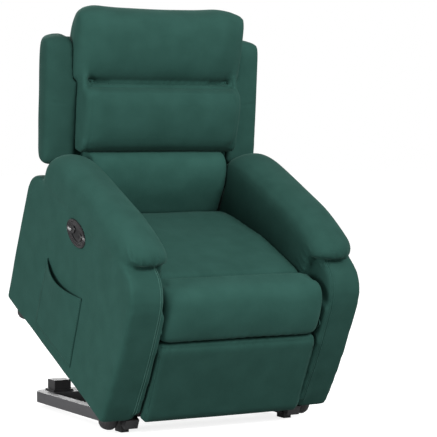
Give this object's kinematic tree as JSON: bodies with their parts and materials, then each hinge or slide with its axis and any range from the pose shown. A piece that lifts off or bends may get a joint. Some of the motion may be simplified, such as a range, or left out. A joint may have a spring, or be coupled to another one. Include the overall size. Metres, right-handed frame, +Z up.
{
  "type": "lift recliner chair",
  "caption": "Padded electric recliner armchair on a steel lift base that raises and tips the seat to help its user stand, with a reclining back and swing-out footrest.",
  "frame": {"origin": "on the floor, under the middle of the box round the raised chair", "axes": "+Z up; the sitter faces -Y; the sitter's right hand, the control and the side pocket are on the -X side"},
  "size_m": [0.78, 0.8872, 1.2707],
  "materials": {
    "fabric": "dark green smooth velvet-like upholstery fabric",
    "base_steel": "dark grey satin powder coat",
    "link_steel": "black satin paint",
    "rod_steel": "bright plated steel",
    "black_plastic": "fine textured black plastic",
    "gloss_plastic": "polished black plastic",
    "plywood": "bare plywood"
  },
  "bodies": {
    "base": {"base_rear_member": "base_steel", "base_cross_bar": "base_steel", "base_rail_left": "base_steel", "base_rail_right": "base_steel", "base_front_foot_left": "black_plastic", "base_front_foot_right": "black_plastic", "base_rear_pad_left": "black_plastic", "base_rear_pad_right": "black_plastic", "rear_rest_block_left": "black_plastic", "rear_rest_block_right": "black_plastic", "base_pivot_bracket_left": "link_steel", "base_pivot_bracket_right": "link_steel"},
    "lift_arms": {"lift_arm_left": "link_steel", "lift_arm_right": "link_steel", "lift_cross_tube": "link_steel"},
    "guide_links": {"guide_link_left": "link_steel", "guide_link_right": "link_steel"},
    "lift_motor": {"lift_motor": "black_plastic"},
    "lift_rod": {"lift_rod": "rod_steel"},
    "seat_unit": {"mechanism_plate_left": "link_steel", "mechanism_plate_right": "link_steel", "seat_front_rail": "link_steel", "seat_rear_rail": "link_steel", "seat_deck": "plywood", "power_supply": "black_plastic", "side_panel_left": "fabric", "side_panel_right": "fabric", "arm_pad_left": "fabric", "arm_pad_right": "fabric", "panel_runner_left": "black_plastic", "panel_runner_right": "black_plastic", "foot_front_left": "black_plastic", "foot_front_right": "black_plastic", "foot_rear_left": "black_plastic", "foot_rear_right": "black_plastic", "seat_cushion": "fabric", "front_bolster": "fabric", "rear_skirt": "fabric", "side_pocket": "fabric", "control_bezel": "gloss_plastic"},
    "back": {"back_frame": "plywood", "back_rear_cover": "fabric", "head_roll": "fabric", "middle_roll": "fabric", "lumbar_roll": "fabric", "wing_left": "fabric", "wing_right": "fabric", "back_bracket_left": "link_steel", "back_bracket_right": "link_steel"},
    "recline_motor": {"recline_motor": "black_plastic"},
    "recline_rod": {"recline_rod": "rod_steel"},
    "footrest": {"footrest_board": "plywood", "footrest_pad": "fabric"},
    "leg_motor": {"leg_motor": "black_plastic"},
    "leg_rod": {"leg_rod": "rod_steel"},
    "raise_button": {"raise_button": "gloss_plastic"},
    "lower_button": {"lower_button": "gloss_plastic"}
  },
  "joints": [
    {"name": "lift", "type": "hinge", "parent": "base", "child": "lift_arms", "pos_m": [0, -0.16868, 0.08006], "axis": [-1, 0, 0], "range_deg": [0, 28.52]},
    {"name": "seat_tilt", "type": "hinge", "parent": "lift_arms", "child": "seat_unit", "pos_m": [0, 0.16173, 0.29368], "axis": [-1, 0, 0], "range_deg": [-4.25, 0.5]},
    {"name": "guide_link_swing", "type": "hinge", "parent": "base", "child": "guide_links", "pos_m": [0, -0.12852, 0.08511], "axis": [-1, 0, 0], "range_deg": [-0.5, 31.38]},
    {"name": "lift_motor_pivot", "type": "hinge", "parent": "base", "child": "lift_motor", "pos_m": [0, 0.37362, 0.095], "axis": [-1, 0, 0], "range_deg": [-6.92, 0.5]},
    {"name": "lift_rod_slide", "type": "slide", "parent": "lift_motor", "child": "lift_rod", "axis": [0, -0.9692, 0.2462], "range_m": [-0.0622, 0.001]},
    {"name": "back_recline", "type": "hinge", "parent": "seat_unit", "child": "back", "pos_m": [0, 0.19654, 0.59058], "axis": [-1, 0, 0], "range_deg": [-4, 30]},
    {"name": "recline_motor_pivot", "type": "hinge", "parent": "seat_unit", "child": "recline_motor", "pos_m": [-0.07, -0.2465, 0.25949], "axis": [-1, 0, 0], "range_deg": [-0.51, 0.53]},
    {"name": "recline_rod_slide", "type": "slide", "parent": "recline_motor", "child": "recline_rod", "axis": [0, 0.8717, 0.49], "range_m": [-0.03899, 0.00607]},
    {"name": "footrest_swing", "type": "hinge", "parent": "seat_unit", "child": "footrest", "pos_m": [0, -0.38709, 0.31356], "axis": [-1, 0, 0], "range_deg": [0, 90]},
    {"name": "leg_motor_pivot", "type": "hinge", "parent": "seat_unit", "child": "leg_motor", "pos_m": [0.09, -0.03592, 0.34014], "axis": [-1, 0, 0], "range_deg": [-4.77, 0.5]},
    {"name": "leg_rod_slide", "type": "slide", "parent": "leg_motor", "child": "leg_rod", "axis": [0, -0.9697, -0.2445], "range_m": [-0.001, 0.12913]},
    {"name": "raise_button_press", "type": "slide", "parent": "seat_unit", "child": "raise_button", "axis": [1, 0, 0], "range_m": [0, 0.0015], "stiffness_N_per_m": 600},
    {"name": "lower_button_press", "type": "slide", "parent": "seat_unit", "child": "lower_button", "axis": [1, 0, 0], "range_m": [0, 0.0015], "stiffness_N_per_m": 600}
  ],
  "couplings": [
    {"joint": "seat_tilt", "follows": "lift", "ratio": -0.13146},
    {"joint": "guide_link_swing", "follows": "lift", "ratio": 1.0829},
    {"joint": "lift_motor_pivot", "follows": "lift", "ratio": -0.22515},
    {"joint": "lift_rod_slide", "follows": "lift", "m_per_rad": -0.12296},
    {"joint": "recline_motor_pivot", "follows": "back_recline", "ratio": 0.001145},
    {"joint": "recline_rod_slide", "follows": "back_recline", "m_per_rad": -0.072562},
    {"joint": "leg_motor_pivot", "follows": "footrest_swing", "ratio": -0.047448},
    {"joint": "leg_rod_slide", "follows": "footrest_swing", "m_per_rad": 0.081573}
  ]
}
